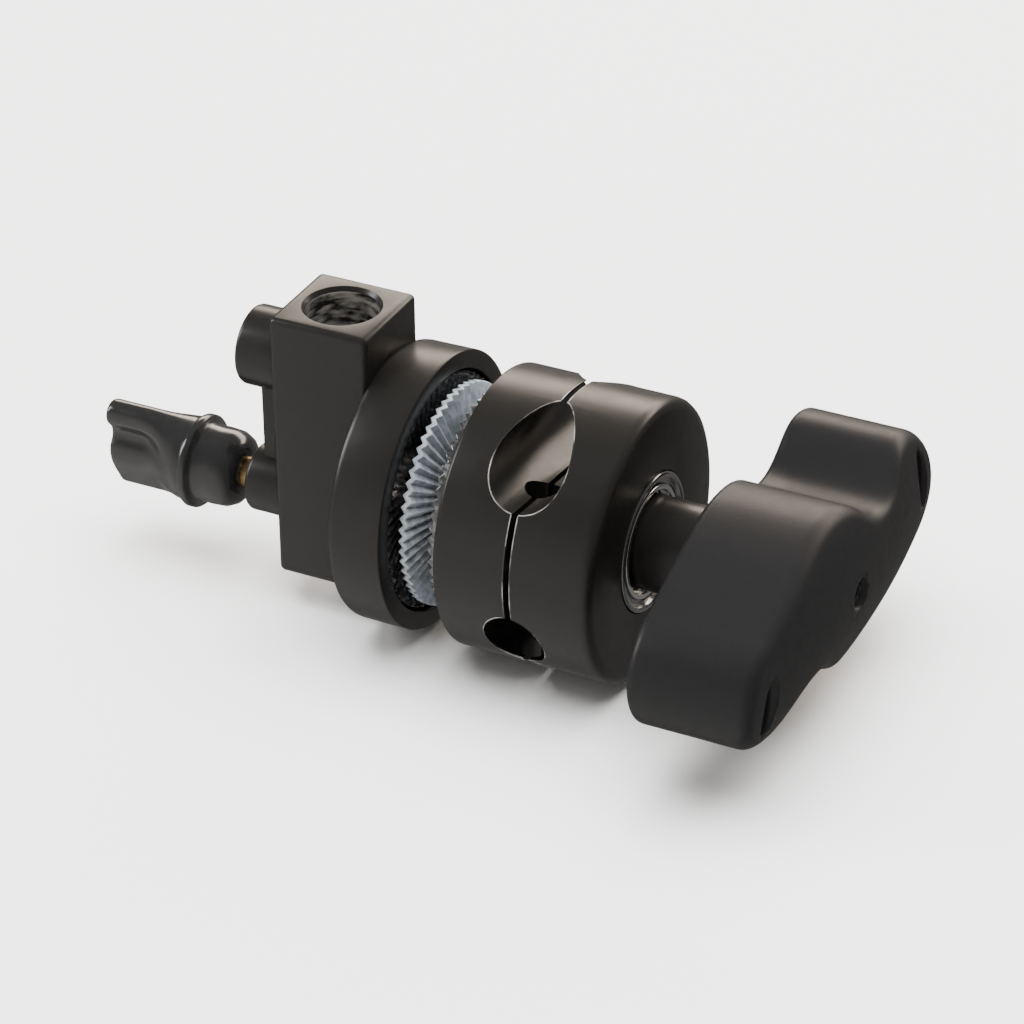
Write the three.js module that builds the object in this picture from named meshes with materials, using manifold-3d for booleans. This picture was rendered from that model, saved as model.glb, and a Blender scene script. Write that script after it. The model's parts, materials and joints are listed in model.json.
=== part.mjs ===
// A grip head for studio stands, in millimetres, +Z up.
// A square receiver with an upright 5/8 in socket carries a toothed disc; a loose toothed disc and two
// grooved jaws stand in front of it on one stud, and a T-handle squeezes them together.
// The origin is on the socket's axis at the receiver's bottom face. The stud's axis runs along +X.

import * as THREE from "three";
import { mergeVertices } from "three/addons/utils/BufferGeometryUtils.js";
import Module from "manifold-3d";

const wasm = await Module();
wasm.setup();

// ---- driving dimensions -----------------------------------------------------------------------------

const GAP = 0.3; // clearance between pieces that touch, turn or slide on the real head

// Receiver block, upright, with the socket through it. Head coordinates: x along the stud, z up from it.
const BLOCK_WIDTH = 24;
const BLOCK_BACK_X = -36.5;
const BLOCK_FRONT_X = BLOCK_BACK_X + BLOCK_WIDTH;
const BLOCK_BOTTOM_Z = -24;
const BLOCK_TOP_Z = 40.5;
const BLOCK_EDGE = 2;
const SOCKET_X = (BLOCK_BACK_X + BLOCK_FRONT_X) / 2;
const SOCKET_RADIUS = 8.15;
const SOCKET_MOUTH = 0.8;

// Bosses on the back of the block: a plain tapped one above, the lock's below, with a web between them.
const BOSS_END_X = -47.3;
const UPPER_BOSS_Z = 25.7;
const UPPER_BOSS_RADIUS = 9.1;
const TAPPED_HOLE_RADIUS = 4.2;
const LOCK_Z = -8.3;
const LOCK_BOSS_RADIUS = 7.8;
const WEB_WIDTH = 6;
const WEB_END_X = -44.4;

// Discs and jaws share one outer size, 2 1/2 in.
const HEAD_RADIUS = 31.75;
const DISC_BACK_X = -13;
const DISC_CHAMFER = 1.8;
const BOWL_RADIUS = 27.5;
const TOOTH_OUTER_RADIUS = 25.5;
const TOOTH_INNER_RADIUS = 13;
const TOOTH_COUNT = 60;
const TOOTH_HEIGHT = 1.1;
const TOOTH_CONE_RISE = 2.5;
const BOWL_TOOTH_X = -0.9;
const SPRING_POCKET_RADIUS = 10.6;
const SPRING_POCKET_X = -8;

// Stud and springs.
const STUD_RADIUS = 5.85;
const STUD_ROOT_X = -15.4;
const STUD_TIP_X = 76;
const SPRING_RADIUS = 8.1;
const SPRING_WIRE = 1.2;

// Loose toothed disc.
const RING_RIM_X = 2.5;
const RING_RIM_THICKNESS = 1.2;
const WASHER_RADIUS = 10.2;
const WASHER_THICKNESS = 1.4;

// Jaws.
const JAW_TOOTH_X = 9.1;
const JAW_BOSS_RADIUS = 26;
const JAW_BACK_X = 12.9;
const PARTING_X = 30.5;
const PARTING_GAP = 1.3;
const JAW_FRONT_X = 50;
const JAW_BEVEL_X = 2.4;
const JAW_BEVEL_RADIUS = 29.4;
const JAW_BORE_RADIUS = 6.6;
const JAW_CLOCKING = THREE.MathUtils.degToRad(-6);
const JAW_SPRING_POCKET = 8.3;
const JAW_SPRING_RADIUS = 7.4;
const JAW_SPRING_WIRE = 1;
const JAW_SPRING_DEPTH = 5;
const JAW_SIDES = 56;

// Rod grooves: rod diameter, offset of the groove's axis from the stud, and whether it runs up or across.
const GROOVES = [
  { rod: 15.9, offset: 22.4, runs: "across" },
  { rod: 12.7, offset: -17.4, runs: "across" },
  { rod: 6.4, offset: -15, runs: "up" },
  { rod: 9.5, offset: 14, runs: "up" },
];
const GROOVE_CLEARANCE = 0.1;

// Guide pins that keep the jaws in line.
const PIN_RADIUS = 2;
const PIN_OFFSET = 25;
const PIN_START_X = 24;
const PIN_END_X = 38;

// Thrust bearing in the outer jaw.
const BEARING_POCKET_RADIUS = 15.9;
const BEARING_POCKET_X = 41;
const RACE_RADIUS = 15;
const RACE_THICKNESS = 1.6;
const ROLLER_COUNT = 10;
const ROLLER_RADIUS = 1.2;
const ROLLER_LENGTH = 4.6;
const ROLLER_CIRCLE = 11.4;
const COVER_INNER_RADIUS = 11.7;
const COVER_PROUD = 0.5;

// Handle hub and handle.
const HUB_RADIUS = 10.5;
const HUB_SHOULDER_X = 68.6;
const HUB_SPIGOT = 15;
const HUB_END_X = 86;
const HUB_BORE_END_X = 84;
const HANDLE_BACK_X = 66.6;
const HANDLE_FRONT_X = 98.6;
const HANDLE_EDGE = 2.5;
const HANDLE_CROWN = { along: 120, across: 40, height: 40 };
const TIP_POCKET = { y: 41, z: 5, halfWidth: 3, halfHeight: 7, floorX: 93.7 };
const SCREW_HEAD_RADIUS = 3.4;
const SCREW_RADIUS = 2;

// The handle seen along the stud is an S: a round lobe at each end, and between them a crown over the hub
// and a waist for the fingers. The other half is the same, turned by 180 degrees.
const LOBE = { y: 36.2, z: 3.5, radius: 13.8 };
const SHOULDER_ANGLE = THREE.MathUtils.degToRad(105);
const CROWN = { y: -7, z: 20.2 };
const WAIST = { y: 19, z: 10.6 };

// How far each curve of the outline keeps its direction as it leaves or reaches one of those places.
const REACH = {
  shoulderY: 9,
  shoulderZ: 3.5,
  intoCrown: 10,
  fromCrown: 18,
  intoWaist: 12,
  fromWaist: 8,
  intoLobe: 7,
};

// Lock: bush, pad, stud and wing knob on the lower boss.
const LOCK_BUSH_RADIUS = 5.9;
const LOCK_BUSH_LENGTH = 9;
const LOCK_STUD_RADIUS = 4;
const LOCK_STUD_TIP_X = -37.2;
const PAD_RADIUS = 3.7;
const PAD_LENGTH = 3.9;
const KNOB_FRONT_X = -50.4;
const KNOB_COLLAR_X = -62.6;
const KNOB_COLLAR_RADIUS = 10.8;
const KNOB_BULB_RADIUS = 8.9;
const KNOB_END_X = -84.4;
const KNOB_SCALE = 0.235;
const KNOB_WING_TURN = THREE.MathUtils.degToRad(98);

// ---- materials --------------------------------------------------------------------------------------

function finish(color, roughness, metalness) {
  return new THREE.MeshStandardMaterial({ color, roughness, metalness });
}

const blackPaint = finish(0x1b1a19, 0.42, 0.1);
const handlePaint = finish(0x1e1f22, 0.5, 0.1);
const toothedSteel = finish(0x8f979f, 0.35, 0.9);
const brightSteel = finish(0xb4b6b8, 0.25, 1.0);
const springSteel = finish(0x77797c, 0.35, 0.9);
const brass = finish(0xb08b4a, 0.35, 0.9);
const knobPlastic = finish(0x121212, 0.25, 0.0);
const bearingCage = finish(0x3a3f45, 0.6, 0.0);

// ---- shape helpers ----------------------------------------------------------------------------------

function toSolid(geometry) {
  const bare = geometry.clone();
  bare.deleteAttribute("normal");
  bare.deleteAttribute("uv");
  const merged = mergeVertices(bare, 1e-4);
  const triVerts = new Uint32Array(merged.index.array);
  const vertProperties = merged.attributes.position.array;
  return new wasm.Manifold(new wasm.Mesh({ numProp: 3, vertProperties, triVerts }));
}

function toGeometry(solid) {
  const mesh = solid.getMesh();
  const geometry = new THREE.BufferGeometry();
  geometry.setAttribute("position", new THREE.BufferAttribute(new Float32Array(mesh.vertProperties), 3));
  geometry.setIndex(Array.from(mesh.triVerts));
  const flat = geometry.toNonIndexed();
  flat.computeVertexNormals();
  return flat;
}

// A body turned about the stud's axis from [x, radius] points. A profile that leaves the axis open closes
// on itself. sides is the number of facets round it.
function turned(profile, sides = 48) {
  const points = profile.map(([x, radius]) => new THREE.Vector2(radius, x));
  if (profile[0][1] > 0) points.push(points[0].clone());
  const geometry = new THREE.LatheGeometry(points, sides);
  geometry.rotateZ(-Math.PI / 2);
  return geometry;
}

// A shallow cone of a ring with radial teeth on it, as [x, radius] points. The points marked by isToothed
// move forward and back along the axis by turns.
function toothedRing(profile, isToothed) {
  const sides = 2 * TOOTH_COUNT;
  const geometry = turned(profile, sides);
  const position = geometry.attributes.position;
  const perTurn = position.count / (sides + 1);
  for (let index = 0; index < position.count; index += 1) {
    const step = Math.floor(index / perTurn);
    const point = profile[(index % perTurn) % profile.length];
    if (!isToothed(point)) continue;
    const height = (TOOTH_HEIGHT * point[1]) / TOOTH_OUTER_RADIUS;
    const side = step % 2 === 0 ? 0.5 : -0.5;
    position.setX(index, position.getX(index) + side * height);
  }
  return toSolid(geometry);
}

// A plain rod along the stud's axis, from one x to another.
function rodAlongX(x0, x1, radius, y = 0, z = 0, sides = 32) {
  const geometry = new THREE.CylinderGeometry(radius, radius, x1 - x0, sides);
  geometry.rotateZ(-Math.PI / 2);
  geometry.translate((x0 + x1) / 2, y, z);
  return geometry;
}

function ring(x0, x1, inner, outer, sides = 48) {
  return turned(
    [
      [x0, inner],
      [x0, outer],
      [x1, outer],
      [x1, inner],
    ],
    sides,
  );
}

function roundedSquare(width, depth, corner) {
  const x = width / 2;
  const y = depth / 2;
  const shape = new THREE.Shape();
  shape.moveTo(-x + corner, -y);
  shape.lineTo(x - corner, -y);
  shape.absarc(x - corner, -y + corner, corner, -Math.PI / 2, 0);
  shape.lineTo(x, y - corner);
  shape.absarc(x - corner, y - corner, corner, 0, Math.PI / 2);
  shape.lineTo(-x + corner, y);
  shape.absarc(-x + corner, y - corner, corner, Math.PI / 2, Math.PI);
  shape.lineTo(-x, -y + corner);
  shape.absarc(-x + corner, -y + corner, corner, Math.PI, 1.5 * Math.PI);
  return shape;
}

// A cylinder along y ("across") or along z ("up"), through the whole head.
function groove(radius, runs, x, offset) {
  const geometry = new THREE.CylinderGeometry(radius, radius, 3 * HEAD_RADIUS, 24);
  if (runs === "up") {
    geometry.rotateX(Math.PI / 2);
    geometry.translate(x, offset, 0);
  } else {
    geometry.translate(x, 0, offset);
  }
  return geometry;
}

// Radial teeth on a shallow cone: x at a radius, from the mean height at the rim.
function coneX(rimX, radius) {
  const share = (TOOTH_OUTER_RADIUS - radius) / (TOOTH_OUTER_RADIUS - TOOTH_INNER_RADIUS);
  return rimX + TOOTH_CONE_RISE * share;
}

function helix(x0, x1, radius, turns) {
  class Helix extends THREE.Curve {
    getPoint(t, target = new THREE.Vector3()) {
      const angle = 2 * Math.PI * turns * t;
      return target.set(x0 + (x1 - x0) * t, radius * Math.cos(angle), radius * Math.sin(angle));
    }
  }
  return new Helix();
}

function coilSpring(x0, x1, turns, radius = SPRING_RADIUS, wireSize = SPRING_WIRE) {
  const wire = new THREE.Shape();
  wire.absarc(0, 0, wireSize / 2, 0, 2 * Math.PI);
  const inset = wireSize / 2 + 0.15;
  return new THREE.ExtrudeGeometry(wire, {
    steps: Math.round(10 * turns),
    curveSegments: 3,
    extrudePath: helix(x0 + inset, x1 - inset, radius, turns),
  });
}

const head = new THREE.Group();
head.position.set(-SOCKET_X, 0, -BLOCK_BOTTOM_Z);
const jaws = new THREE.Group();
jaws.rotation.x = JAW_CLOCKING;
head.add(jaws);

function place(name, geometry, material, group = head) {
  const mesh = new THREE.Mesh(geometry, material);
  mesh.name = name;
  group.add(mesh);
}

// ---- receiver ---------------------------------------------------------------------------------------

function receiverBlock() {
  const side = BLOCK_WIDTH - 2 * BLOCK_EDGE;
  const block = new THREE.ExtrudeGeometry(roundedSquare(side, side, 0.6), {
    depth: BLOCK_TOP_Z - BLOCK_BOTTOM_Z - 2 * BLOCK_EDGE,
    bevelThickness: BLOCK_EDGE,
    bevelSize: BLOCK_EDGE,
    bevelSegments: 2,
    curveSegments: 1,
  });
  block.translate(SOCKET_X, 0, BLOCK_BOTTOM_Z + BLOCK_EDGE);
  return toSolid(block);
}

function toothedBody() {
  const bowlInnerX = 2 * BOWL_TOOTH_X - coneX(BOWL_TOOTH_X, TOOTH_INNER_RADIUS);
  const floorX = bowlInnerX - 1.4;
  const disc = turned([
    [DISC_BACK_X, STUD_RADIUS + GAP],
    [DISC_BACK_X, HEAD_RADIUS - DISC_CHAMFER],
    [DISC_BACK_X + DISC_CHAMFER, HEAD_RADIUS],
    [0, HEAD_RADIUS],
    [0, BOWL_RADIUS],
    [floorX, BOWL_RADIUS - 0.4],
    [floorX, SPRING_POCKET_RADIUS],
    [SPRING_POCKET_X, SPRING_POCKET_RADIUS],
    [SPRING_POCKET_X, STUD_RADIUS + GAP],
  ]);
  const teeth = [
    [floorX - 1, TOOTH_INNER_RADIUS],
    [floorX - 1, BOWL_RADIUS - 0.7],
    [BOWL_TOOTH_X, BOWL_RADIUS - 0.7],
    [bowlInnerX, TOOTH_INNER_RADIUS],
  ];
  return toSolid(disc).add(toothedRing(teeth, (point) => teeth.indexOf(point) > 1));
}

function receiverWeb() {
  const height = UPPER_BOSS_Z - LOCK_Z;
  const web = new THREE.BoxGeometry(BLOCK_BACK_X - WEB_END_X + 2, WEB_WIDTH, height);
  web.translate((BLOCK_BACK_X + WEB_END_X) / 2 + 1, 0, LOCK_Z + height / 2);
  return toSolid(web);
}

function boss(z, radius) {
  const body = turned(
    [
      [BOSS_END_X, 0],
      [BOSS_END_X, radius - 0.9],
      [BOSS_END_X + 0.9, radius],
      [BLOCK_BACK_X + 2, radius],
      [BLOCK_BACK_X + 2, 0],
    ],
    36,
  );
  body.translate(0, 0, z);
  return toSolid(body);
}

function socket() {
  const mouth = SOCKET_RADIUS + SOCKET_MOUTH;
  const profile = [
    [BLOCK_BOTTOM_Z - 1, 0],
    [BLOCK_BOTTOM_Z - 1, mouth],
    [BLOCK_BOTTOM_Z, mouth],
    [BLOCK_BOTTOM_Z + SOCKET_MOUTH, SOCKET_RADIUS],
    [BLOCK_TOP_Z - SOCKET_MOUTH, SOCKET_RADIUS],
    [BLOCK_TOP_Z, mouth],
    [BLOCK_TOP_Z + 1, mouth],
    [BLOCK_TOP_Z + 1, 0],
  ];
  const bore = turned(profile, 40);
  bore.rotateY(-Math.PI / 2);
  bore.translate(SOCKET_X, 0, 0);
  return toSolid(bore);
}

function receiverBody() {
  const studHole = rodAlongX(STUD_ROOT_X - GAP, DISC_BACK_X + 1, STUD_RADIUS + GAP, 0, 0, 48);
  const spareHole = rodAlongX(BOSS_END_X - 1, SOCKET_X, TAPPED_HOLE_RADIUS, 0, UPPER_BOSS_Z, 20);
  const bushHole = rodAlongX(
    BOSS_END_X - 1,
    BOSS_END_X + LOCK_BUSH_LENGTH + GAP,
    LOCK_BUSH_RADIUS + GAP,
    0,
    LOCK_Z,
    28,
  );
  const padHole = rodAlongX(BOSS_END_X, SOCKET_X, PAD_RADIUS + GAP, 0, LOCK_Z, 24);
  const body = receiverBlock()
    .add(toothedBody())
    .add(receiverWeb())
    .add(boss(UPPER_BOSS_Z, UPPER_BOSS_RADIUS))
    .add(boss(LOCK_Z, LOCK_BOSS_RADIUS));
  return body
    .subtract(socket())
    .subtract(toSolid(studHole))
    .subtract(toSolid(spareHole))
    .subtract(toSolid(bushHole))
    .subtract(toSolid(padHole));
}

place("receiver_body", toGeometry(receiverBody()), blackPaint);
place("main_stud", rodAlongX(STUD_ROOT_X, STUD_TIP_X, STUD_RADIUS, 0, 0, 32), brightSteel);

// ---- lock -------------------------------------------------------------------------------------------

function lockBush() {
  const x0 = BOSS_END_X - 0.4;
  const bush = ring(x0, BOSS_END_X + LOCK_BUSH_LENGTH, LOCK_STUD_RADIUS + GAP, LOCK_BUSH_RADIUS, 28);
  bush.translate(0, 0, LOCK_Z);
  return bush;
}

// The knob's grip is a short S-shaped wing, a small copy of the handle's outline, stood nearly upright.
function knobGrip() {
  const grip = new THREE.ExtrudeGeometry(handleShape(KNOB_SCALE), {
    curveSegments: 4,
    depth: KNOB_COLLAR_X - KNOB_END_X,
    bevelEnabled: true,
    bevelThickness: 1,
    bevelSize: 1,
    bevelOffset: -1,
    bevelSegments: 2,
  });
  toStudFrame(grip);
  grip.rotateX(KNOB_WING_TURN);
  grip.translate(KNOB_END_X + 1, 0, 0);
  return toSolid(grip);
}

function lockKnob() {
  const collar = turned(
    [
      [KNOB_COLLAR_X - 7, 0],
      [KNOB_COLLAR_X - 7, 6.4],
      [KNOB_COLLAR_X - 0.8, KNOB_COLLAR_RADIUS - 1.6],
      [KNOB_COLLAR_X - 0.4, KNOB_COLLAR_RADIUS],
      [KNOB_COLLAR_X + 1.6, KNOB_COLLAR_RADIUS],
      [KNOB_COLLAR_X + 2.2, KNOB_BULB_RADIUS],
      [KNOB_FRONT_X - 3.4, KNOB_BULB_RADIUS],
      [KNOB_FRONT_X - 1, KNOB_BULB_RADIUS - 1.1],
      [KNOB_FRONT_X, KNOB_BULB_RADIUS - 3.2],
      [KNOB_FRONT_X, 0],
    ],
    36,
  );
  const bore = rodAlongX(KNOB_COLLAR_X - 3, KNOB_FRONT_X + 1, LOCK_STUD_RADIUS + GAP, 0, 0, 24);
  const knob = toGeometry(toSolid(collar).add(knobGrip()).subtract(toSolid(bore)));
  knob.translate(0, 0, LOCK_Z);
  return knob;
}

// The S-shaped outline in y and z: each half runs over a lobe, the crown and the waist to the next lobe.
function handleShape(scale) {
  const shape = new THREE.Shape();
  for (const side of [1, -1]) {
    const k = side * scale;
    const turn = side === 1 ? 0 : Math.PI;
    const startY = -LOBE.y + LOBE.radius * Math.cos(SHOULDER_ANGLE);
    const startZ = -LOBE.z + LOBE.radius * Math.sin(SHOULDER_ANGLE);
    const lobeTop = LOBE.z + LOBE.radius;
    const arc = [1.5 * Math.PI - turn, SHOULDER_ANGLE - turn];
    shape.absarc(-k * LOBE.y, -k * LOBE.z, scale * LOBE.radius, arc[0], arc[1], true);
    const curveTo = (...points) => shape.bezierCurveTo(...points.flat().map((value) => k * value));
    const shoulderEnd = [startY + REACH.shoulderY, startZ + REACH.shoulderZ];
    curveTo(shoulderEnd, [CROWN.y - REACH.intoCrown, CROWN.z], [CROWN.y, CROWN.z]);
    curveTo([CROWN.y + REACH.fromCrown, CROWN.z], [WAIST.y - REACH.intoWaist, WAIST.z], [WAIST.y, WAIST.z]);
    curveTo([WAIST.y + REACH.fromWaist, WAIST.z], [LOBE.y - REACH.intoLobe, lobeTop], [LOBE.y, lobeTop]);
  }
  return shape;
}

// An extrusion drawn in y and z and pushed along x.
function toStudFrame(geometry) {
  geometry.rotateX(Math.PI / 2);
  geometry.rotateZ(Math.PI / 2);
}

const padEndX = LOCK_STUD_TIP_X + GAP + PAD_LENGTH;
place("lock_bush", lockBush(), brightSteel);
place("lock_pad", rodAlongX(LOCK_STUD_TIP_X + GAP, padEndX, PAD_RADIUS, 0, LOCK_Z, 24), brass);
place(
  "lock_stud",
  rodAlongX(KNOB_COLLAR_X - 3 + GAP, LOCK_STUD_TIP_X, LOCK_STUD_RADIUS - 0.4, 0, LOCK_Z, 24),
  brass,
);
place("lock_knob", lockKnob(), knobPlastic);

// ---- loose toothed disc and its springs -------------------------------------------------------------

function frictionDisc() {
  const half = RING_RIM_THICKNESS / 2;
  const pocket = WASHER_RADIUS + GAP;
  const backInnerX = 2 * (RING_RIM_X - half) - coneX(RING_RIM_X - half, pocket);
  const frontInnerX = coneX(RING_RIM_X + half, pocket);
  const teeth = [
    [backInnerX, pocket],
    [RING_RIM_X - half, TOOTH_OUTER_RADIUS],
    [RING_RIM_X + half, TOOTH_OUTER_RADIUS],
    [frontInnerX, pocket],
  ];
  const floor = ring(RING_RIM_X - 0.8, RING_RIM_X + 0.8, STUD_RADIUS + 2 * GAP, pocket + 0.6, 40);
  return toSolid(floor).add(toothedRing(teeth, () => true));
}

const discWasherX = RING_RIM_X - 0.8 - GAP;
const swivelSpringX = RING_RIM_X + 0.8;
const jawWasherX = 16.2;

place("friction_disc", toGeometry(frictionDisc()), toothedSteel);
place(
  "disc_washer",
  ring(discWasherX - WASHER_THICKNESS, discWasherX, STUD_RADIUS + GAP, WASHER_RADIUS, 32),
  brightSteel,
);
place("disc_spring", coilSpring(SPRING_POCKET_X, discWasherX - WASHER_THICKNESS, 3), springSteel);
place(
  "jaw_washer",
  ring(jawWasherX - WASHER_THICKNESS, jawWasherX, STUD_RADIUS + GAP, WASHER_RADIUS, 32),
  brightSteel,
);
place("swivel_spring", coilSpring(swivelSpringX, jawWasherX - WASHER_THICKNESS, 4), springSteel);

// ---- jaws -------------------------------------------------------------------------------------------

function grooveCuts() {
  return GROOVES.map(({ rod, offset, runs }) => {
    const radius = rod / 2 + PARTING_GAP / 2 + GROOVE_CLEARANCE;
    return toSolid(groove(radius, runs, PARTING_X, offset));
  });
}

function pinHoles(x0, x1, radius) {
  return [-PIN_OFFSET, PIN_OFFSET].map((y) => toSolid(rodAlongX(x0, x1, radius, y, 0, 16)));
}

function cutAll(body, cuts) {
  return cuts.reduce((rest, cut) => rest.subtract(cut), body);
}

function innerJaw() {
  const front = PARTING_X - PARTING_GAP / 2;
  const washerSeat = jawWasherX + GAP;
  const hubRadius = SPRING_POCKET_RADIUS + 0.3;
  const body = turned(
    [
      [JAW_BACK_X, SPRING_POCKET_RADIUS],
      [JAW_BACK_X, HEAD_RADIUS - 0.6],
      [JAW_BACK_X + 0.6, HEAD_RADIUS],
      [front, HEAD_RADIUS],
      [front, JAW_SPRING_POCKET],
      [front - JAW_SPRING_DEPTH, JAW_SPRING_POCKET],
      [front - JAW_SPRING_DEPTH, JAW_BORE_RADIUS],
      [washerSeat, JAW_BORE_RADIUS],
      [washerSeat, SPRING_POCKET_RADIUS],
    ],
    JAW_SIDES,
  );
  const teeth = [
    [coneX(JAW_TOOTH_X, hubRadius), hubRadius],
    [JAW_TOOTH_X, JAW_BOSS_RADIUS],
    [JAW_BACK_X + 0.5, JAW_BOSS_RADIUS],
    [JAW_BACK_X + 0.5, hubRadius],
  ];
  const jaw = toSolid(body).add(toothedRing(teeth, (point) => teeth.indexOf(point) < 2));
  return cutAll(jaw, [...grooveCuts(), ...pinHoles(PIN_START_X - GAP, front + 1, PIN_RADIUS + GAP)]);
}

function outerJaw() {
  const back = PARTING_X + PARTING_GAP / 2;
  const profile = [
    [back, JAW_SPRING_POCKET],
    [back, HEAD_RADIUS],
    [JAW_FRONT_X - JAW_BEVEL_X, HEAD_RADIUS],
    [JAW_FRONT_X, JAW_BEVEL_RADIUS],
    [JAW_FRONT_X, BEARING_POCKET_RADIUS],
    [BEARING_POCKET_X, BEARING_POCKET_RADIUS],
    [BEARING_POCKET_X, JAW_BORE_RADIUS],
    [back + JAW_SPRING_DEPTH, JAW_BORE_RADIUS],
    [back + JAW_SPRING_DEPTH, JAW_SPRING_POCKET],
  ];
  const body = toSolid(turned(profile, JAW_SIDES));
  return cutAll(body, [...grooveCuts(), ...pinHoles(back - 1, PIN_END_X + 2, PIN_RADIUS + GAP)]);
}

place("inner_jaw", toGeometry(innerJaw()), blackPaint, jaws);
place("outer_jaw", toGeometry(outerJaw()), blackPaint, jaws);
place("guide_pin_1", rodAlongX(PIN_START_X, PIN_END_X, PIN_RADIUS, -PIN_OFFSET, 0, 16), brightSteel, jaws);
place("guide_pin_2", rodAlongX(PIN_START_X, PIN_END_X, PIN_RADIUS, PIN_OFFSET, 0, 16), brightSteel, jaws);

const jawSpringReach = PARTING_GAP / 2 + JAW_SPRING_DEPTH;
place(
  "jaw_spring",
  coilSpring(
    PARTING_X - jawSpringReach,
    PARTING_X + jawSpringReach,
    4,
    JAW_SPRING_RADIUS,
    JAW_SPRING_WIRE,
  ),
  springSteel,
);

// ---- thrust bearing ---------------------------------------------------------------------------------

const rearRaceX = BEARING_POCKET_X + GAP;
const rollerX = rearRaceX + RACE_THICKNESS + GAP / 2 + ROLLER_RADIUS;
const frontRaceX = rollerX + ROLLER_RADIUS + GAP / 2;

// The cage is a flat ring with a window for each roller.
function cage() {
  const plate = ring(rollerX - 0.6, rollerX + 0.6, ROLLER_CIRCLE - 3.6, ROLLER_CIRCLE + 3.4, 40);
  const windows = rollerAngles().map((angle) => {
    const hole = new THREE.BoxGeometry(4, ROLLER_LENGTH + 2 * GAP, 2 * (ROLLER_RADIUS + GAP));
    hole.translate(rollerX, ROLLER_CIRCLE, 0);
    hole.rotateX(angle);
    return toSolid(hole);
  });
  return toGeometry(cutAll(toSolid(plate), windows));
}

function rollerAngles() {
  return Array.from({ length: ROLLER_COUNT }, (_, index) => (2 * Math.PI * index) / ROLLER_COUNT);
}

function roller(angle) {
  const body = new THREE.CylinderGeometry(ROLLER_RADIUS, ROLLER_RADIUS, ROLLER_LENGTH, 8);
  body.translate(rollerX, ROLLER_CIRCLE, 0);
  body.rotateX(angle);
  return body;
}

// The cover closes the pocket round the hub: a dished floor with a rounded lip standing just proud.
function bearingCover() {
  const back = frontRaceX + RACE_THICKNESS + GAP;
  const lip = BEARING_POCKET_RADIUS - GAP / 2;
  return turned(
    [
      [back, COVER_INNER_RADIUS],
      [back, lip],
      [JAW_FRONT_X + COVER_PROUD - 0.4, lip],
      [JAW_FRONT_X + COVER_PROUD, lip - 0.5],
      [JAW_FRONT_X + COVER_PROUD, lip - 1.3],
      [JAW_FRONT_X - 0.3, lip - 2],
      [JAW_FRONT_X - 0.6, COVER_INNER_RADIUS],
    ],
    48,
  );
}

place(
  "bearing_rear_race",
  ring(rearRaceX, rearRaceX + RACE_THICKNESS, STUD_RADIUS + 0.5, RACE_RADIUS, 32),
  brightSteel,
);
place("bearing_cage", cage(), bearingCage);
rollerAngles().forEach((angle, index) => {
  place(`bearing_roller_${String(index + 1).padStart(2, "0")}`, roller(angle), brightSteel);
});
place(
  "bearing_front_race",
  ring(frontRaceX, frontRaceX + RACE_THICKNESS, STUD_RADIUS + 0.5, RACE_RADIUS, 32),
  brightSteel,
);
place("bearing_cover", bearingCover(), brightSteel);

// ---- handle -----------------------------------------------------------------------------------------

function hexRod(x0, x1, acrossFlats) {
  const hex = new THREE.CylinderGeometry(acrossFlats / Math.sqrt(3), acrossFlats / Math.sqrt(3), x1 - x0, 6);
  hex.rotateZ(-Math.PI / 2);
  hex.translate((x0 + x1) / 2, 0, 0);
  return toSolid(hex);
}

function handleHub() {
  const start = frontRaceX + RACE_THICKNESS + GAP;
  const bore = rodAlongX(start - 1, HUB_BORE_END_X, STUD_RADIUS + GAP, 0, 0, 32);
  const screwHole = rodAlongX(HUB_BORE_END_X - 1, HUB_END_X + 1, SCREW_RADIUS + GAP, 0, 0, 16);
  const barrel = toSolid(rodAlongX(start, HUB_SHOULDER_X - 2, HUB_RADIUS, 0, 0, 48));
  return barrel
    .add(hexRod(HUB_SHOULDER_X - 4, HUB_END_X, HUB_SPIGOT))
    .subtract(toSolid(bore))
    .subtract(toSolid(screwHole));
}

function handleCrown() {
  const crown = new THREE.SphereGeometry(1, 48, 32);
  crown.scale(HANDLE_CROWN.height, HANDLE_CROWN.along, HANDLE_CROWN.across);
  crown.translate(HANDLE_FRONT_X - HANDLE_CROWN.height, 0, 0);
  return toSolid(crown);
}

// A shallow oval hollow in the front near each end. side is 1 or -1.
function tipPocket(side) {
  const pocket = rodAlongX(TIP_POCKET.floorX, HANDLE_FRONT_X + 2, 1, 0, 0, 20);
  pocket.scale(1, TIP_POCKET.halfWidth, TIP_POCKET.halfHeight);
  pocket.translate(0, side * TIP_POCKET.y, side * TIP_POCKET.z);
  return toSolid(pocket);
}

function teeHandle() {
  const bar = new THREE.ExtrudeGeometry(handleShape(1), {
    curveSegments: 7,
    depth: HANDLE_FRONT_X - HANDLE_BACK_X,
    bevelEnabled: true,
    bevelThickness: HANDLE_EDGE,
    bevelSize: HANDLE_EDGE,
    bevelOffset: -HANDLE_EDGE,
    bevelSegments: 3,
  });
  toStudFrame(bar);
  bar.translate(HANDLE_BACK_X + HANDLE_EDGE, 0, 0);
  const hexHole = hexRod(HANDLE_BACK_X - 1, HUB_END_X + GAP, HUB_SPIGOT + 2 * GAP);
  const screwHole = toSolid(rodAlongX(HUB_END_X - 1, HANDLE_FRONT_X + 2, SCREW_RADIUS + GAP, 0, 0, 16));
  const recess = toSolid(
    rodAlongX(HANDLE_FRONT_X - 3.2, HANDLE_FRONT_X + 2, SCREW_HEAD_RADIUS + GAP, 0, 0, 24),
  );
  return toSolid(bar)
    .intersect(handleCrown())
    .subtract(hexHole)
    .subtract(screwHole)
    .subtract(recess)
    .subtract(tipPocket(1))
    .subtract(tipPocket(-1));
}

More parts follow.
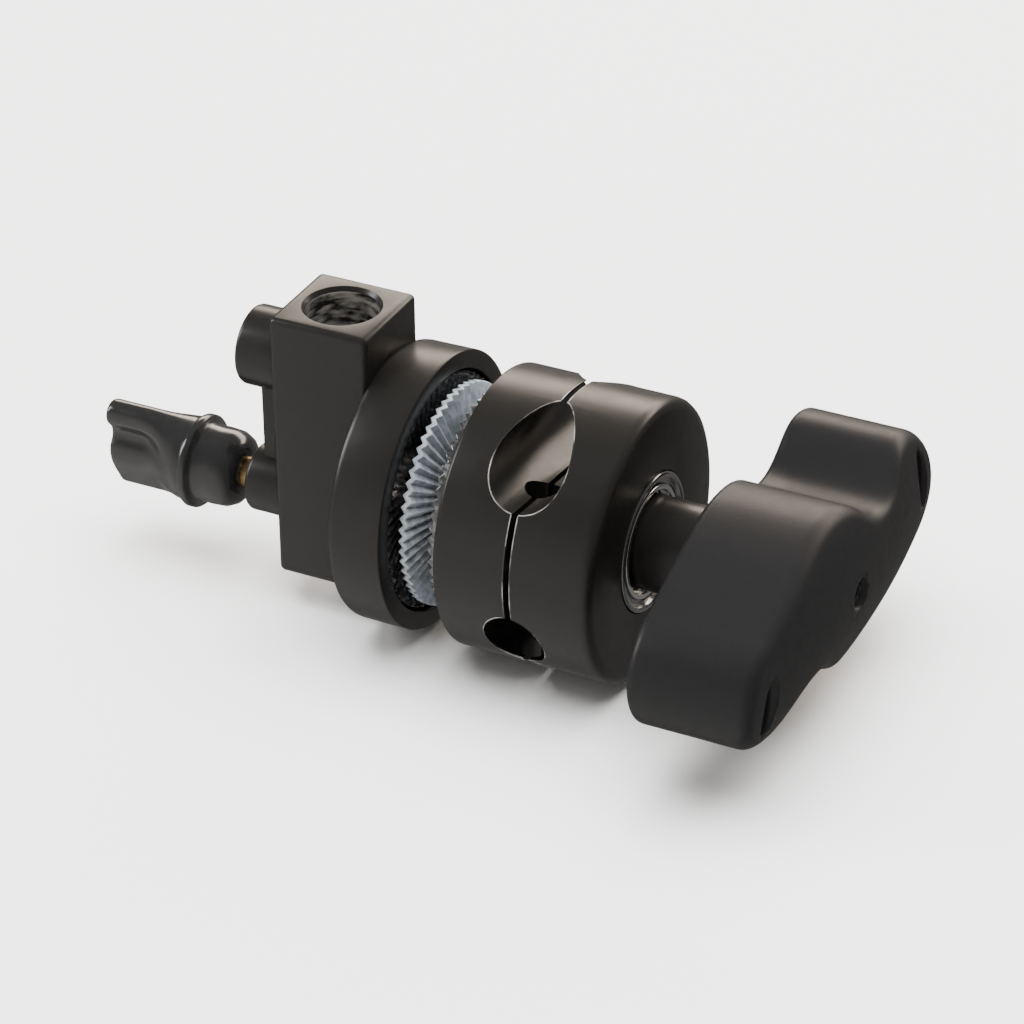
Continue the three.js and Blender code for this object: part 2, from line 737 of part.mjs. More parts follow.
function endScrew() {
  const headBack = HANDLE_FRONT_X - 3.2 + GAP;
  return turned(
    [
      [HUB_BORE_END_X + 0.4, 0],
      [HUB_BORE_END_X + 0.4, SCREW_RADIUS],
      [headBack, SCREW_RADIUS],
      [headBack, SCREW_HEAD_RADIUS],
      [headBack + 1.6, SCREW_HEAD_RADIUS - 0.4],
      [headBack + 1.6, 1.6],
      [headBack + 0.6, 1.5],
      [headBack + 0.6, 0],
    ],
    24,
  );
}

place("handle_hub", toGeometry(handleHub()), blackPaint);
place("tee_handle", toGeometry(teeHandle()), handlePaint);
place("handle_end_screw", endScrew(), brightSteel);

const part = new THREE.Group();
part.add(head);

export default part;
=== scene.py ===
"""A grip head's looks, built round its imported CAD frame: painted castings, bare toothed steel, a T-handle.

Profiles are turned about the stud's axis. They are lists of (x, radius, rounding) in millimetres, with x
measured along the stud from the front of the receiver's disc.
"""

import json
import math

import bmesh
import bpy
from mathutils import Matrix, Vector


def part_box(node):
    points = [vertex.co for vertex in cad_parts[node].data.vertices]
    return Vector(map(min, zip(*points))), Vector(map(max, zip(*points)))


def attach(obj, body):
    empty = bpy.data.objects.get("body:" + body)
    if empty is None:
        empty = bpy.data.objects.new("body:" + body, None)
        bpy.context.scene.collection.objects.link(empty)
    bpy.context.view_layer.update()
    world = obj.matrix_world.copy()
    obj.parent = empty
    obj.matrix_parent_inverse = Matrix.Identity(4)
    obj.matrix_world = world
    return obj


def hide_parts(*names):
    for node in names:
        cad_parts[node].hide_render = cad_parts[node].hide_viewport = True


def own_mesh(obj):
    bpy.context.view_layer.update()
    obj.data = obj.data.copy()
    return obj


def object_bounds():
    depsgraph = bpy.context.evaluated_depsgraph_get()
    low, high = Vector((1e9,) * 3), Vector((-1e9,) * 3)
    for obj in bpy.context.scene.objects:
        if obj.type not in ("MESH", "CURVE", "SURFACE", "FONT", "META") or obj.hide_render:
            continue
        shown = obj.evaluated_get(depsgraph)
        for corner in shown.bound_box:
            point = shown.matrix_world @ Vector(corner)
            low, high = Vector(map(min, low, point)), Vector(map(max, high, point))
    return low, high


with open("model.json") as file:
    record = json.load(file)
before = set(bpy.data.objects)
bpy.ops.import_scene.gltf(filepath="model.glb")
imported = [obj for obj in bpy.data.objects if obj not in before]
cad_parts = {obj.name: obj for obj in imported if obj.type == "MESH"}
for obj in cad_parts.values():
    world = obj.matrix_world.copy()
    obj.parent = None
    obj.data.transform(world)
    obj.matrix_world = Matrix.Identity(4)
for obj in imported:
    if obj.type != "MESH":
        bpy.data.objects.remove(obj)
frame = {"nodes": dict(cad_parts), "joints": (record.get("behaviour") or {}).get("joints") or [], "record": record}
cad_low, cad_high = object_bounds()

MM = 0.001
JOINTS = {joint["name"]: joint for joint in frame["joints"]}
STUD_AXIS = Vector(JOINTS["handle_turn"]["pos_m"])
LOCK_AXIS = Vector(JOINTS["knob_turn"]["pos_m"])

TEETH = 60
TOOTH_HEIGHT = 1.1
FULL_TOOTH_RADIUS = 25.5
TOOTHED_SIDES = TEETH * 6
ROUNDING_STEPS = 4
ROUNDING_SHARE = 0.48
BEVEL_SEGMENTS = 5
TURNED_SIDES = 120
CYLINDER_SIDES = 64
HUB_SIDES = 96
SOCKET_SIDES = 96
GROOVE_SIDES = 72
MERGE_DISTANCE = 1e-7


def box_mm(node):
    """A CAD node's lowest and highest corner in millimetres, measured from the stud's axis at the disc."""
    low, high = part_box(node)
    return (low - STUD_AXIS) / MM, (high - STUD_AXIS) / MM


# ---- meshes -----------------------------------------------------------------------------------------


def smooth(piece, sharp_angle):
    for face in piece.data.polygons:
        face.use_smooth = True
    piece.data.set_sharp_from_angle(angle=math.radians(sharp_angle))
    return piece


def new_object(name, bm, sharp_angle=35):
    bmesh.ops.recalc_face_normals(bm, faces=bm.faces)
    mesh = bpy.data.meshes.new(name)
    bm.to_mesh(mesh)
    bm.free()
    piece = bpy.data.objects.new(name, mesh)
    bpy.context.scene.collection.objects.link(piece)
    return smooth(piece, sharp_angle)


def rounded_corners(corners):
    """Replaces each corner (a, b, rounding) of a closed outline by a curve, and returns (a, b) points."""
    points = []
    count = len(corners)
    for index, (a, b, radius) in enumerate(corners):
        here = Vector((a, b))
        if radius <= 0:
            points.append(here)
            continue
        before = Vector(corners[index - 1][:2]) - here
        after = Vector(corners[(index + 1) % count][:2]) - here
        angle = before.angle(after)
        reach = radius / math.tan(angle / 2)
        reach = min(reach, ROUNDING_SHARE * before.length, ROUNDING_SHARE * after.length)
        start = here + before.normalized() * reach
        end = here + after.normalized() * reach
        for step in range(ROUNDING_STEPS + 1):
            t = step / ROUNDING_STEPS
            points.append(start * (1 - t) ** 2 + here * 2 * t * (1 - t) + end * t**2)
    return points


def skin(bm, loops, close_rows=False):
    """Joins successive closed loops of vertices with quads."""
    pairs = list(zip(loops, loops[1:]))
    if close_rows:
        pairs.append((loops[-1], loops[0]))
    for one, other in pairs:
        for index in range(len(one)):
            following = (index + 1) % len(one)
            corners = [one[index], one[following], other[following], other[index]]
            bm.faces.new(list(dict.fromkeys(corners)))


def turned(name, profile, sides=TURNED_SIDES, centre=STUD_AXIS, height=None):
    """A body of revolution about the stud's direction. height(x, radius, angle) moves a point along x."""
    bm = bmesh.new()
    outline = rounded_corners(profile)
    loops = []
    for side in range(sides):
        angle = 2 * math.pi * side / sides
        loop = []
        for x, radius in outline:
            shift = height(x, radius, angle) if height else 0
            place = Vector((x + shift, radius * math.cos(angle), radius * math.sin(angle)))
            loop.append(bm.verts.new(centre + place * MM))
        loops.append(loop)
    skin(bm, loops, close_rows=True)
    bmesh.ops.remove_doubles(bm, verts=bm.verts, dist=MERGE_DISTANCE)
    return new_object(name, bm)


def cylinder(name, x0, x1, radius, z=0, rounding=0):
    profile = [(x0, 0, 0), (x0, radius, rounding), (x1, radius, rounding), (x1, 0, 0)]
    return turned(name, profile, CYLINDER_SIDES, STUD_AXIS + Vector((0, 0, z)) * MM)


def rounded_box(name, low, high, rounding):
    bm = bmesh.new()
    bmesh.ops.create_cube(bm, size=1)
    size = high - low
    bmesh.ops.scale(bm, vec=size * MM, verts=bm.verts)
    bmesh.ops.translate(bm, vec=STUD_AXIS + (low + high) / 2 * MM, verts=bm.verts)
    bmesh.ops.bevel(
        bm,
        geom=bm.edges[:],
        offset=rounding * MM,
        segments=BEVEL_SEGMENTS,
        profile=0.5,
        affect="EDGES",
    )
    return new_object(name, bm)


def apply_modifiers(piece):
    graph = bpy.context.evaluated_depsgraph_get()
    mesh = bpy.data.meshes.new_from_object(piece.evaluated_get(graph))
    piece.modifiers.clear()
    piece.data = mesh
    return piece


def combine(piece, other, operation):
    modifier = piece.modifiers.new("combine", "BOOLEAN")
    modifier.object = other
    modifier.operation = operation
    modifier.solver = "EXACT"
    apply_modifiers(piece)
    bpy.data.objects.remove(other)
    return piece


def cut(piece, *others):
    for other in others:
        combine(piece, other, "DIFFERENCE")
    return piece


def join(piece, *others):
    for other in others:
        combine(piece, other, "UNION")
    return piece


def lines(name, runs, radius):
    """Thin round lines along runs of points in millimetres, as one mesh."""
    curve = bpy.data.curves.new(name, "CURVE")
    curve.dimensions = "3D"
    curve.bevel_depth = radius
    curve.bevel_resolution = 1
    curve.use_fill_caps = True
    for run in runs:
        spline = curve.splines.new("POLY")
        spline.points.add(len(run) - 1)
        for knot, point in zip(spline.points, run):
            knot.co = (*point, 1)
    holder = bpy.data.objects.new(name + "_curve", curve)
    bpy.context.scene.collection.objects.link(holder)
    graph = bpy.context.evaluated_depsgraph_get()
    mesh = bpy.data.meshes.new_from_object(holder.evaluated_get(graph))
    bpy.data.objects.remove(holder)
    piece = bpy.data.objects.new(name, mesh)
    bpy.context.scene.collection.objects.link(piece)
    return smooth(piece, 60)


# ---- materials --------------------------------------------------------------------------------------


class Look:
    """A Principled material with a little noise in its roughness and surface."""

    def __init__(self, name, color, roughness, metallic=0.0, specular=0.5, coat=0.0):
        self.material = bpy.data.materials.new(name)
        self.material.use_nodes = True
        self.nodes = self.material.node_tree.nodes
        self.links = self.material.node_tree.links
        self.shader = self.nodes["Principled BSDF"]
        self.shader.inputs["Base Color"].default_value = (*color, 1)
        self.shader.inputs["Roughness"].default_value = roughness
        self.shader.inputs["Metallic"].default_value = metallic
        self.shader.inputs["Specular IOR Level"].default_value = specular
        self.shader.inputs["Coat Weight"].default_value = coat
        self.shader.inputs["Coat Roughness"].default_value = 0.12
        self.place = self.nodes.new("ShaderNodeTexCoord")

    def noise(self, scale, detail=4, stretch=(1, 1, 1)):
        mapping = self.nodes.new("ShaderNodeMapping")
        mapping.inputs["Scale"].default_value = stretch
        self.links.new(self.place.outputs["Object"], mapping.inputs["Vector"])
        texture = self.nodes.new("ShaderNodeTexNoise")
        texture.inputs["Scale"].default_value = scale
        texture.inputs["Detail"].default_value = detail
        self.links.new(mapping.outputs["Vector"], texture.inputs["Vector"])
        return texture.outputs["Fac"]

    def between(self, value, from_range, to_range):
        node = self.nodes.new("ShaderNodeMapRange")
        node.inputs["From Min"].default_value = from_range[0]
        node.inputs["From Max"].default_value = from_range[1]
        node.inputs["To Min"].default_value = to_range[0]
        node.inputs["To Max"].default_value = to_range[1]
        self.links.new(value, node.inputs["Value"])
        return node.outputs["Result"]

    def vary_roughness(self, value, low, high):
        result = self.between(value, (0.3, 0.7), (low, high))
        self.links.new(result, self.shader.inputs["Roughness"])

    def bump(self, value, distance, strength=1.0):
        node = self.nodes.new("ShaderNodeBump")
        node.inputs["Distance"].default_value = distance * MM
        node.inputs["Strength"].default_value = strength
        self.links.new(value, node.inputs["Height"])
        self.links.new(node.outputs["Normal"], self.shader.inputs["Normal"])

    def blend_color(self, value, low, high, one, other):
        mix = self.nodes.new("ShaderNodeMix")
        mix.data_type = "RGBA"
        mix.inputs["A"].default_value = (*one, 1)
        mix.inputs["B"].default_value = (*other, 1)
        self.links.new(self.between(value, (low, high), (0, 1)), mix.inputs["Factor"])
        self.links.new(mix.outputs["Result"], self.shader.inputs["Base Color"])


def black_paint():
    look = Look("black_paint", (0.006, 0.0055, 0.005), 0.31, specular=0.42)
    look.vary_roughness(look.noise(260), 0.29, 0.34)
    look.bump(look.noise(2600, 2), 0.012, 0.5)
    return look.material


def worn_paint():
    look = Look("worn_paint", (0.05, 0.05, 0.048), 0.2, specular=0.9)
    look.blend_color(look.noise(160, 4), 0.46, 0.64, (0.012, 0.012, 0.011), (0.26, 0.25, 0.235))
    return look.material


def scuffed_bore():
    look = Look("scuffed_bore", (0.3, 0.28, 0.26), 0.34, metallic=0.75)
    look.blend_color(look.noise(240, 6, (1, 1, 3)), 0.4, 0.64, (0.03, 0.028, 0.026), (0.5, 0.48, 0.45))
    return look.material


def handle_paint():
    look = Look("handle_paint", (0.0065, 0.0064, 0.0068), 0.42, specular=0.3)
    look.vary_roughness(look.noise(300), 0.4, 0.45)
    look.bump(look.noise(1900, 3), 0.05, 0.5)
    return look.material


def glossy_paint():
    return Look("glossy_paint", (0.012, 0.012, 0.012), 0.16, specular=1.0, coat=1.0).material


def toothed_paint():
    look = Look("toothed_paint", (0.012, 0.012, 0.012), 0.14, specular=1.0, coat=1.0)
    # The lighter specks blended into the dark colour are painted glints on the teeth, not a colour of the paint.
    look.blend_color(look.noise(900, 3), 0.5, 0.72, (0.012, 0.012, 0.012), (0.09, 0.09, 0.09))
    look.vary_roughness(look.noise(900), 0.1, 0.22)
    return look.material


def toothed_steel():
    look = Look("toothed_steel", (0.5, 0.54, 0.58), 0.4, metallic=0.45)
    look.blend_color(look.noise(500, 5), 0.35, 0.7, (0.24, 0.27, 0.3), (0.48, 0.53, 0.58))
    look.vary_roughness(look.noise(700), 0.3, 0.48)
    return look.material


def turned_steel():
    look = Look("turned_steel", (0.62, 0.62, 0.61), 0.2, metallic=1.0)
    look.vary_roughness(look.noise(300, 3, (12, 1, 1)), 0.12, 0.3)
    return look.material


def brass():
    look = Look("brass", (0.6, 0.42, 0.2), 0.34, metallic=1.0)
    look.vary_roughness(look.noise(500), 0.25, 0.45)
    return look.material


def knob_plastic():
    look = Look("knob_plastic", (0.008, 0.008, 0.008), 0.2, specular=0.5, coat=0.4)
    look.vary_roughness(look.noise(200), 0.15, 0.26)
    look.bump(look.noise(420, 2), 0.03, 0.3)
    return look.material


def cage_plastic():
    return Look("cage_plastic", (0.04, 0.045, 0.05), 0.6).material


LOOKS = {
    "black_paint": black_paint(),
    "worn_paint": worn_paint(),
    "scuffed_bore": scuffed_bore(),
    "handle_paint": handle_paint(),
    "glossy_paint": glossy_paint(),
    "toothed_paint": toothed_paint(),
    "toothed_steel": toothed_steel(),
    "bright_steel": turned_steel(),
    "spring_steel": turned_steel(),
    "brass": brass(),
    "knob_plastic": knob_plastic(),
    "cage_plastic": cage_plastic(),
}


def paint(piece, look):
    if piece.data.materials:
        piece.data.materials[0] = LOOKS[look]
    else:
        piece.data.materials.append(LOOKS[look])
    return piece


def stand_for(piece, body, slot, *nodes):
    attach(piece, body)
    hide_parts(*nodes)
    return piece


# ---- receiver ---------------------------------------------------------------------------------------

BODY_LOW, BODY_HIGH = box_mm("receiver_body")
HEAD_RADIUS = (box_mm("outer_jaw")[1].z - box_mm("outer_jaw")[0].z) / 2
BLOCK_WIDTH = 24
BLOCK_BACK = -36.5
BLOCK_FRONT = BLOCK_BACK + BLOCK_WIDTH
BLOCK_LOW = -STUD_AXIS.z / MM
BLOCK_HIGH = BODY_HIGH.z
LOCK_Z = (LOCK_AXIS.z - STUD_AXIS.z) / MM
BLOCK_ROUNDING = 1.4
UPPER_BOSS_Z = 25.7
BOSS_END = BODY_LOW.x
UPPER_BOSS_RADIUS, LOWER_BOSS_RADIUS = 9.1, 7.8
BOSS_OVERLAP = 3
WEB_HALF_THICKNESS = 3
TAPPED_RADIUS, BUSH_RADIUS, PAD_RADIUS = 4.2, 6.1, 4
BUSH_DEPTH = 9.3
HOLE_REACH = 8
SOCKET_RADIUS = 8.15
SOCKET_MOUTH = 8.95
DISC_BACK = -13
BOWL_FLOOR = -5.2
SPRING_POCKET_RADIUS, SPRING_POCKET_FLOOR = 10.6, -8
STUD_BORE = 6.6
JAW_POCKET_RADIUS, JAW_POCKET_DEPTH = 8.3, 5


def socket_cutter():
    """The upright bore with a rolled mouth at each end, drawn along x and then stood up."""
    profile = [
        (BLOCK_LOW - 2, 0, 0),
        (BLOCK_LOW - 2, SOCKET_MOUTH + 0.4, 0),
        (BLOCK_LOW, SOCKET_MOUTH, 0.6),
        (BLOCK_LOW + 1, SOCKET_RADIUS, 0.8),
        (BLOCK_HIGH - 1, SOCKET_RADIUS, 0.8),
        (BLOCK_HIGH, SOCKET_MOUTH, 0.6),
        (BLOCK_HIGH + 2, SOCKET_MOUTH + 0.4, 0),
        (BLOCK_HIGH + 2, 0, 0),
    ]
    cutter = turned("socket_cutter", profile, SOCKET_SIDES, Vector((0, 0, 0)))
    upright = Matrix.Translation((0, 0, STUD_AXIS.z)) @ Matrix.Rotation(-math.pi / 2, 4, "Y")
    cutter.data.transform(upright)
    return cutter


def tooth_height(floor_radius):
    """Radial teeth as a zigzag wave round the axis, growing with the radius."""

    def height(x, radius, angle):
        if radius < floor_radius:
            return 0
        wave = 2 * abs((angle * TEETH / (2 * math.pi)) % 1 - 0.5) - 0.5
        return TOOTH_HEIGHT * wave * radius / FULL_TOOTH_RADIUS

    return height


def receiver():
    block = rounded_box(
        "receiver",
        Vector((BLOCK_BACK, -BLOCK_WIDTH / 2, BLOCK_LOW)),
        Vector((BLOCK_FRONT, BLOCK_WIDTH / 2, BLOCK_HIGH)),
        BLOCK_ROUNDING,
    )
    disc = turned(
        "receiver_disc",
        [
            (DISC_BACK, 0, 0),
            (DISC_BACK, HEAD_RADIUS - 0.2, 1.9),
            (0, HEAD_RADIUS, 0.45),
            (0, 27.5, 0.4),
            (BOWL_FLOOR, 26.9, 0.2),
            (BOWL_FLOOR, SPRING_POCKET_RADIUS, 0.2),
            (SPRING_POCKET_FLOOR, SPRING_POCKET_RADIUS, 0),
            (SPRING_POCKET_FLOOR, 0, 0),
        ],
    )
    web = rounded_box(
        "receiver_web",
        Vector((BOSS_END + 3, -WEB_HALF_THICKNESS, LOCK_Z)),
        Vector((BLOCK_BACK + 2, WEB_HALF_THICKNESS, UPPER_BOSS_Z)),
        0.6,
    )
    boss_root = BLOCK_BACK + BOSS_OVERLAP
    upper = cylinder("upper_boss", BOSS_END, boss_root, UPPER_BOSS_RADIUS, UPPER_BOSS_Z, rounding=1)
    lower = cylinder("lower_boss", BOSS_END, boss_root, LOWER_BOSS_RADIUS, LOCK_Z, rounding=1)
    join(block, disc, web, upper, lower)
    hole_end = BLOCK_BACK + HOLE_REACH
    tapped = cylinder("tapped_cutter", BOSS_END - 2, hole_end, TAPPED_RADIUS, UPPER_BOSS_Z)
    bush_hole = cylinder("bush_cutter", BOSS_END - 2, BOSS_END + BUSH_DEPTH, BUSH_RADIUS, LOCK_Z)
    pad_hole = cylinder("pad_cutter", BOSS_END, hole_end, PAD_RADIUS, LOCK_Z)
    cut(block, socket_cutter(), tapped, bush_hole, pad_hole)
    smooth(block, 32)
    paint(block, "black_paint")
    block.data.materials.append(LOOKS["scuffed_bore"])
    for face in block.data.polygons:
        centre = face.center / MM
        upright = abs(face.normal.z) < 0.3
        if upright and math.hypot(centre.x, centre.y) < SOCKET_RADIUS + 0.05:
            face.material_index = 1
    return stand_for(block, "receiver", "black_paint", "receiver_body")


def bowl_teeth():
    """The painted teeth in the receiver's bowl, a cone of radial ridges with a free inner edge."""
    profile = [(-5.6, 13, 0), (-5.6, 26.8, 0), (-0.9, 26.8, 0.5), (-3.4, 13, 0.4)]
    flat_back = -5

    def height(x, radius, angle):
        return tooth_height(12)(x, radius, angle) if x > flat_back else 0

    teeth = turned("bowl_teeth", profile, TOOTHED_SIDES, height=height)
    paint(teeth, "toothed_paint")
    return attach(teeth, "receiver")


# ---- loose disc and jaws ----------------------------------------------------------------------------


def loose_disc():
    profile = [
        (0, 10.5, 0),
        (0, 13, 0),
        (1.9, 25.3, 0.2),
        (3.1, 25.3, 0.2),
        (5.6, 13, 0),
        (5.6, 10.5, 0),
        (3.3, 10.5, 0),
        (3.3, 6.5, 0),
        (1.7, 6.5, 0),
        (1.7, 10.5, 0),
    ]
    disc = turned("loose_disc", profile, TOOTHED_SIDES, height=tooth_height(12.5))
    paint(disc, "toothed_steel")
    return stand_for(disc, "disc", "toothed_steel", "friction_disc")


JAW_TURN = math.radians(-6)
PARTING_X = 30.5
HALF_PARTING = 0.65
GROOVES = [(8.7, 22.4, "across"), (7.1, -17.4, "across"), (3.95, -15, "up"), (5.5, 14, "up")]
GROOVE_REACH = 50
EDGE_LINE_RADIUS = 0.16
EDGE_LINE_X = HALF_PARTING + EDGE_LINE_RADIUS
EDGE_CIRCLE = HEAD_RADIUS - 0.08
EDGE_OVERLAP = 0.01
GROOVE_EDGE_STEPS = 20
PARTING_EDGE_STEPS = 240


def in_groove(point, groove):
    radius, offset, runs = groove
    off_axis = point.z - offset if runs == "across" else point.y - offset
    return math.hypot(point.x - PARTING_X, off_axis) < radius - EDGE_OVERLAP


def unbroken_runs(points, grooves):
    """Splits a line of points wherever it passes through one of the grooves."""
    runs = [[]]
    for point in points:
        if any(in_groove(point, groove) for groove in grooves):
            runs.append([])
        else:
            runs[-1].append(point)
    return [run for run in runs if len(run) > 1]


def jaw_edges(side):
    """The edges that grooves and parting leave in the jaws' outside. side is -1 at the rear, 1 in front."""
    runs = []
    for groove in GROOVES:
        radius, offset, direction = groove
        others = [other for other in GROOVES if other is not groove]
        limit = math.acos(EDGE_LINE_X / radius)
        for end in (1, -1):
            points = []
            for step in range(2 * GROOVE_EDGE_STEPS + 1):
                angle = limit * (step / GROOVE_EDGE_STEPS - 1)
                x = PARTING_X + side * radius * math.cos(angle)
                a = offset + radius * math.sin(angle)
                b = end * math.sqrt(max(0.0, EDGE_CIRCLE**2 - a * a))
                points.append(Vector((x, b, a)) if direction == "across" else Vector((x, a, b)))
            runs += unbroken_runs(points, others)
    x = PARTING_X + side * EDGE_LINE_X
    circle = []
    for step in range(PARTING_EDGE_STEPS + 1):
        angle = 2 * math.pi * step / PARTING_EDGE_STEPS
        circle.append(Vector((x, EDGE_CIRCLE * math.cos(angle), EDGE_CIRCLE * math.sin(angle))))
    return runs + unbroken_runs(circle, GROOVES)


def worn_edges(name, body, side):
    piece = lines(name, jaw_edges(side), EDGE_LINE_RADIUS)
    clocked = Matrix.Translation(STUD_AXIS) @ Matrix.Rotation(JAW_TURN, 4, "X") @ Matrix.Scale(MM, 4)
    piece.data.transform(clocked)
    paint(piece, "worn_paint")
    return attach(piece, body)


def groove_cutters():
    """The rods that cut the four grooves, centred on the parting."""
    cutters = []
    for radius, offset, runs in GROOVES:
        profile = [
            (-GROOVE_REACH, 0, 0),
            (-GROOVE_REACH, radius, 0),
            (GROOVE_REACH, radius, 0),
            (GROOVE_REACH, 0, 0),
        ]
        cutter = turned("groove_cutter", profile, GROOVE_SIDES, Vector((0, 0, 0)))
        if runs == "across":
            turn = Matrix.Rotation(math.pi / 2, 4, "Z")
            place = Matrix.Translation((PARTING_X * MM, 0, offset * MM))
        else:
            turn = Matrix.Rotation(-math.pi / 2, 4, "Y")
            place = Matrix.Translation((PARTING_X * MM, offset * MM, 0))
        clocked = Matrix.Translation(STUD_AXIS) @ Matrix.Rotation(JAW_TURN, 4, "X")
        cutter.data.transform(clocked @ place @ turn)
        cutters.append(cutter)
    return cutters


def rear_jaw():
    _, high = box_mm("inner_jaw")
    back, pocket_floor = 12.9, 16.5
    profile = [
        (back, SPRING_POCKET_RADIUS, 0),
        (back, HEAD_RADIUS, 0.9),
        (high.x, HEAD_RADIUS, 0),
        (high.x, JAW_POCKET_RADIUS, 0),
        (high.x - JAW_POCKET_DEPTH, JAW_POCKET_RADIUS, 0),
        (high.x - JAW_POCKET_DEPTH, STUD_BORE, 0),
        (pocket_floor, STUD_BORE, 0),
        (pocket_floor, SPRING_POCKET_RADIUS, 0),
    ]
    jaw = smooth(cut(turned("rear_jaw", profile), *groove_cutters()), 35)
    paint(jaw, "black_paint")
    return stand_for(jaw, "inner_jaw", "black_paint", "inner_jaw")


def rear_jaw_teeth():
    profile = [(11.6, 10.9, 0.2), (9.1, 26, 0.4), (13.2, 26, 0), (13.2, 10.9, 0)]
    flat_front = 12.5

    def height(x, radius, angle):
        return tooth_height(10)(x, radius, angle) if x < flat_front else 0

    teeth = turned("rear_jaw_teeth", profile, TOOTHED_SIDES, height=height)
    paint(teeth, "toothed_paint")
    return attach(teeth, "inner_jaw")


def front_jaw():
    low, high = box_mm("outer_jaw")
    bearing_seat, seat_radius = 41, 15.9
    profile = [
        (low.x, JAW_POCKET_RADIUS, 0),
        (low.x, HEAD_RADIUS, 0),
        (high.x, HEAD_RADIUS, 2.6),
        (high.x, seat_radius, 0.3),
        (bearing_seat, seat_radius, 0),
        (bearing_seat, STUD_BORE, 0),
        (low.x + JAW_POCKET_DEPTH, STUD_BORE, 0),
        (low.x + JAW_POCKET_DEPTH, JAW_POCKET_RADIUS, 0),
    ]
    jaw = smooth(cut(turned("front_jaw", profile), *groove_cutters()), 35)
    paint(jaw, "black_paint")
    return stand_for(jaw, "outer_jaw", "black_paint", "outer_jaw")


def spring(name, node, body):
    """A copy of the CAD's coil, which rides with the given body."""
    cad = frame["nodes"][node]
    coil = bpy.data.objects.new(name, cad.data.copy())
    bpy.context.scene.collection.objects.link(coil)
    bpy.context.view_layer.update()
    coil.matrix_world = cad.matrix_world.copy()
    paint(coil, "spring_steel")
    stand_for(coil, body, "spring_steel", node)
    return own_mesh(coil)


def cover():
    """A glossy lip round a bright steel ring."""
    low, high = box_mm("bearing_cover")
    steel_radius = 13
    profile = [
        (low.x, 11.7, 0),
        (low.x, 15.75, 0),
        (high.x, 15.75, 0.5),
        (high.x, 14.6, 0.5),
        (high.x - 1.3, 14.1, 0.3),
        (high.x - 1.3, steel_radius, 0.1),
        (high.x - 0.5, 12.8, 0.3),
        (high.x - 0.5, 11.7, 0.3),
    ]
    piece = turned("cover_ring", profile)
    paint(piece, "glossy_paint")
    piece.data.materials.append(LOOKS["bright_steel"])
    for face in piece.data.polygons:
        offset = face.center - STUD_AXIS
        if math.hypot(offset.y, offset.z) / MM < steel_radius:
            face.material_index = 1
    return stand_for(piece, "outer_jaw", "bright_steel", "bearing_cover")


# ---- handle -----------------------------------------------------------------------------------------

LOBE_Y, LOBE_Z, LOBE_RADIUS = 36.2, 3.5, 13.8
SHOULDER = math.radians(105)
CROWN = Vector((-7, 20.2))
WAIST = Vector((19, 10.6))
OUTLINE_STEPS = 14
HANDLE_FRONT = 98.6
HANDLE_BACK_ROUNDING, HANDLE_FRONT_ROUNDING = 2.2, 2.6
HANDLE_ROUNDING_STEPS = 7
DOME_HEIGHT, DOME_ALONG, DOME_ACROSS = 40, 120, 40
DOME_ROWS = 10
RECESS_DEPTH, RECESS_RADIUS = 3.2, 3.7
POCKET_Y, POCKET_Z, POCKET_FLOOR = 41, 5, 93.7
POCKET_HALF_WIDTH, POCKET_HALF_HEIGHT = 3, 7


def bezier(a, b, c, d, count):
    for step in range(1, count + 1):
        t = step / count
        u = 1 - t
        yield a * u**3 + b * 3 * u * u * t + c * 3 * u * t * t + d * t**3


def half_outline():
    """From the left lobe's tip over the crown and the waist to just before the right lobe's tip."""
    centre = Vector((-LOBE_Y, -LOBE_Z))
    points = []
    for step in range(OUTLINE_STEPS + 1):
        angle = math.pi + (SHOULDER - math.pi) * step / OUTLINE_STEPS
        points.append(centre + LOBE_RADIUS * Vector((math.cos(angle), math.sin(angle))))
    start = points[-1]
    top = Vector((LOBE_Y, LOBE_Z + LOBE_RADIUS))
    points += bezier(start, start + Vector((9, 3.5)), CROWN - Vector((10, 0)), CROWN, OUTLINE_STEPS)
    points += bezier(CROWN, CROWN + Vector((18, 0)), WAIST - Vector((12, 0)), WAIST, OUTLINE_STEPS)
    points += bezier(WAIST, WAIST + Vector((8, 0)), top - Vector((7, 0)), top, OUTLINE_STEPS)
    for step in range(1, OUTLINE_STEPS):
        angle = math.pi / 2 - math.pi / 2 * step / OUTLINE_STEPS
        points.append(-centre + LOBE_RADIUS * Vector((math.cos(angle), math.sin(angle))))
    return points


def s_outline(scale=1.0):
    half = half_outline()
    return [point * scale for point in half] + [-point * scale for point in half]


def inset(outline, distance):
    """The outline moved inward, which for this clockwise outline is to its right."""
    moved = []
    for index, point in enumerate(outline):
        along = outline[(index + 1) % len(outline)] - outline[index - 1]
        along.normalize()
        moved.append(point + Vector((along.y, -along.x)) * distance)
    return moved


def crown_x(point):
    """How far out the handle's domed front reaches at a place in its outline."""
    share = (point.x / DOME_ALONG) ** 2 + (point.y / DOME_ACROSS) ** 2
    return HANDLE_FRONT - DOME_HEIGHT + DOME_HEIGHT * math.sqrt(max(0.0, 1 - share))


def tip_pocket(side):
    """The cutter of the shallow oval hollow near one end of the handle's front."""
    pocket = cylinder("tip_pocket", POCKET_FLOOR, HANDLE_FRONT + 2, 1)
    to_origin = Matrix.Translation(-STUD_AXIS)
    oval = Matrix.Diagonal((1, POCKET_HALF_WIDTH, POCKET_HALF_HEIGHT, 1))
    place = Matrix.Translation(STUD_AXIS + Vector((0, side * POCKET_Y, side * POCKET_Z)) * MM)
    pocket.data.transform(place @ oval @ to_origin)
    return pocket


